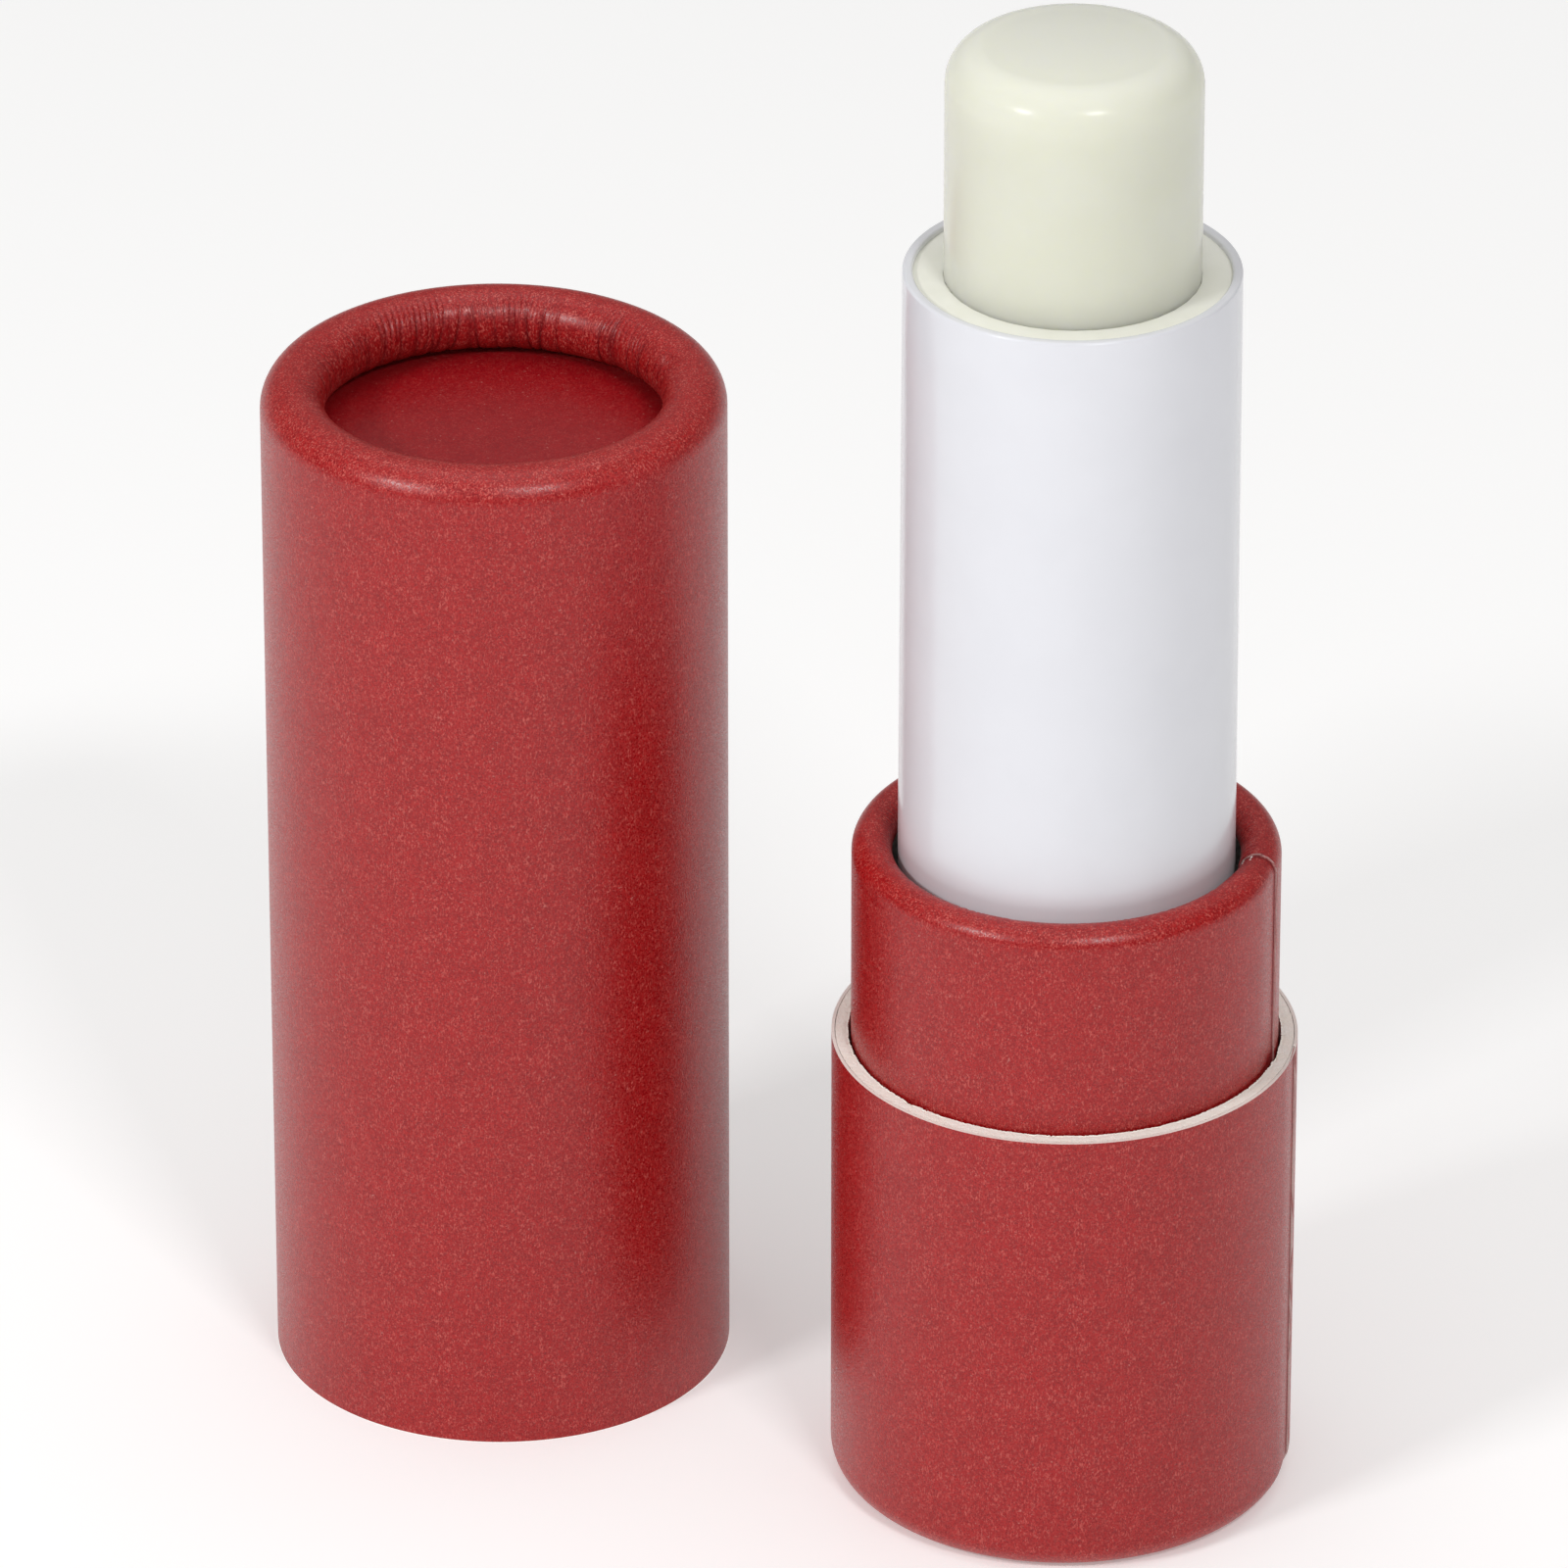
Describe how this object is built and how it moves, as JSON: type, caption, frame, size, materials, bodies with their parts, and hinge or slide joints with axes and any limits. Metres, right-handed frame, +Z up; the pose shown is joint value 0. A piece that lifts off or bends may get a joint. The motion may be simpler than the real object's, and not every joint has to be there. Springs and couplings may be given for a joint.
{
  "type": "lip balm stick",
  "caption": "Twist-up lip balm stick in a rolled red paper case, opened, with its cap standing beside it and the white tube and balm showing above the paper neck.",
  "frame": {"origin": "bottom centre of the bounding box, on the floor midway between the stick and its cap", "axes": "+Z up along the stick's axis, +X from the cap towards the stick, +Y away from the viewer"},
  "size_m": [0.048, 0.0336, 0.0736],
  "materials": {
    "red_paper": "mottled deep red wrapping paper with a satin sheen",
    "board": "cream-white paper board with faint layered edges",
    "white_plastic": "smooth glossy white",
    "natural_plastic": "unpigmented, slightly translucent satin",
    "balm": "translucent pale cream-green wax, soft sheen"
  },
  "bodies": {
    "base": {"base_wrap": "red_paper", "base_tube": "board", "base_disc_facing": "red_paper", "base_disc": "board", "neck_wrap": "red_paper", "neck_tube": "board", "liner_tube": "board", "drive_screw": "natural_plastic"},
    "tube": {"outer_shell": "white_plastic", "guide_tube": "natural_plastic"},
    "carrier": {"elevator": "natural_plastic", "balm_bullet": "balm"},
    "cap": {"cap_wrap": "red_paper", "cap_tube": "board", "cap_disc_facing": "red_paper", "cap_disc": "board"}
  },
  "joints": [
    {"name": "tube_twist", "type": "hinge", "parent": "base", "child": "tube", "pos_m": [0.0132, -0.00595, 0.03], "axis": [0, 0, 1], "range_deg": [-1112, 2378]},
    {"name": "balm_lift", "type": "slide", "parent": "tube", "child": "carrier", "axis": [0, 0, 1], "range_m": [-0.0124, 0.02653]},
    {"name": "cap_lift", "type": "slide", "parent": "base", "child": "cap", "axis": [0, 0, 1], "range_m": [0, 0.08]}
  ],
  "couplings": [
    {"joint": "balm_lift", "follows": "tube_twist", "m_per_rad": 0.00063662}
  ]
}
